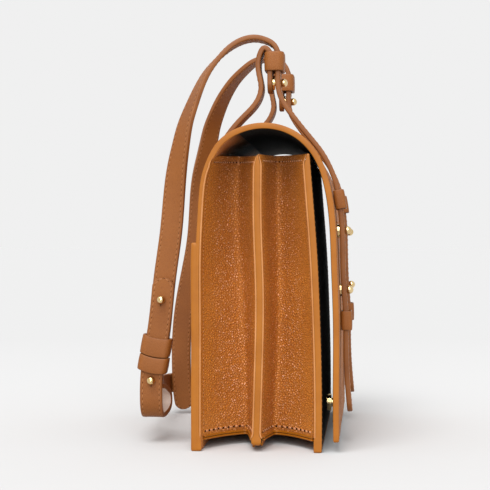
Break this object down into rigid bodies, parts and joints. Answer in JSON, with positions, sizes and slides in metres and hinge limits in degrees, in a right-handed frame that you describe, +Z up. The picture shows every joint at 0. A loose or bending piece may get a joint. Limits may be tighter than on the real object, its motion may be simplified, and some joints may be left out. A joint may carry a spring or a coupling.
{
  "type": "sling bag",
  "caption": "Upright leather satchel with bellows pockets, an arched flap, belted hangers and an adjustable sling strap behind it.",
  "frame": {"origin": "centre of the overall bounding box on the floor plane, under the standing bag", "axes": "+X along the bag's width to the wearer-side right, -Y out of the front flap, +Z up"},
  "size_m": [0.22, 0.1622, 0.3023],
  "materials": {
    "bridle_leather": "smooth vegetable-tanned cow leather, warm tan",
    "gusset_leather": "soft pebbled tan leather",
    "strap_leather": "thick strap leather with painted edges, warm tan",
    "facing_leather": "thin tan facing leather",
    "suede_lining": "black suede lining",
    "pale_brass": "polished pale brass",
    "dark_steel": "plain steel fastener back"
  },
  "bodies": {
    "bag": {"back_panel": "bridle_leather", "back_lining": "suede_lining", "arch_facing": "facing_leather", "arch_lining": "suede_lining", "back_slip_pocket": "bridle_leather", "front_panel": "bridle_leather", "front_lining": "suede_lining", "magnet_socket": "pale_brass", "magnet_socket_washer": "dark_steel", "divider_panel": "bridle_leather", "divider_facings": "facing_leather", "rear_gusset_left": "gusset_leather", "rear_gusset_right": "gusset_leather", "front_gusset_left": "gusset_leather", "front_gusset_right": "gusset_leather", "rear_bottom_gusset": "gusset_leather", "front_bottom_gusset": "gusset_leather", "hanger_left": "strap_leather", "hanger_right": "strap_leather", "belt_top_left": "strap_leather", "belt_top_right": "strap_leather", "hanger_studs": "pale_brass"},
    "front_flap": {"flap": "bridle_leather", "flap_lining": "suede_lining", "magnet_stud": "pale_brass", "belt_left": "strap_leather", "belt_right": "strap_leather", "belt_studs": "pale_brass", "belt_stud_screws": "dark_steel"},
    "upper_belt_keeper_left": {"belt_keeper_upper_left": "strap_leather"},
    "upper_belt_keeper_right": {"belt_keeper_upper_right": "strap_leather"},
    "lower_belt_keeper_left": {"belt_keeper_lower_left": "strap_leather"},
    "lower_belt_keeper_right": {"belt_keeper_lower_right": "strap_leather"},
    "top_keeper_left": {"hanger_keeper_left": "strap_leather"},
    "top_keeper_right": {"hanger_keeper_right": "strap_leather"},
    "shoulder_strap": {"strap_left": "strap_leather", "strap_right": "strap_leather", "strap_lower": "strap_leather", "strap_studs": "pale_brass"},
    "adjuster_keepers": {"strap_keepers": "strap_leather"}
  },
  "joints": [
    {"name": "flap_hinge", "type": "hinge", "parent": "bag", "child": "front_flap", "pos_m": [0, -0.04355, 0.2235], "axis": [-1, 0, 0], "range_deg": [0, 95]},
    {"name": "strap_swing", "type": "hinge", "parent": "bag", "child": "shoulder_strap", "pos_m": [0, -0.02405, 0.29], "axis": [1, 0, 0], "range_deg": [0, 130]},
    {"name": "strap_keepers_slide", "type": "slide", "parent": "shoulder_strap", "child": "adjuster_keepers", "axis": [0, -0.1644, 0.9864], "range_m": [0, 0.01]},
    {"name": "upper_belt_keeper_left_slide", "type": "slide", "parent": "front_flap", "child": "upper_belt_keeper_left", "axis": [0, 0.1518, 0.9884], "range_m": [-0.003, 0]},
    {"name": "lower_belt_keeper_left_slide", "type": "slide", "parent": "front_flap", "child": "lower_belt_keeper_left", "axis": [0, 0.0196, 0.9998], "range_m": [-0.03, 0.004]},
    {"name": "top_keeper_left_slide", "type": "slide", "parent": "bag", "child": "top_keeper_left", "axis": [0, 0, 1], "range_m": [-0.003, 0]},
    {"name": "upper_belt_keeper_right_slide", "type": "slide", "parent": "front_flap", "child": "upper_belt_keeper_right", "axis": [0, 0.1518, 0.9884], "range_m": [-0.003, 0]},
    {"name": "lower_belt_keeper_right_slide", "type": "slide", "parent": "front_flap", "child": "lower_belt_keeper_right", "axis": [0, 0.0196, 0.9998], "range_m": [-0.03, 0.004]},
    {"name": "top_keeper_right_slide", "type": "slide", "parent": "bag", "child": "top_keeper_right", "axis": [0, 0, 1], "range_m": [-0.003, 0]}
  ]
}
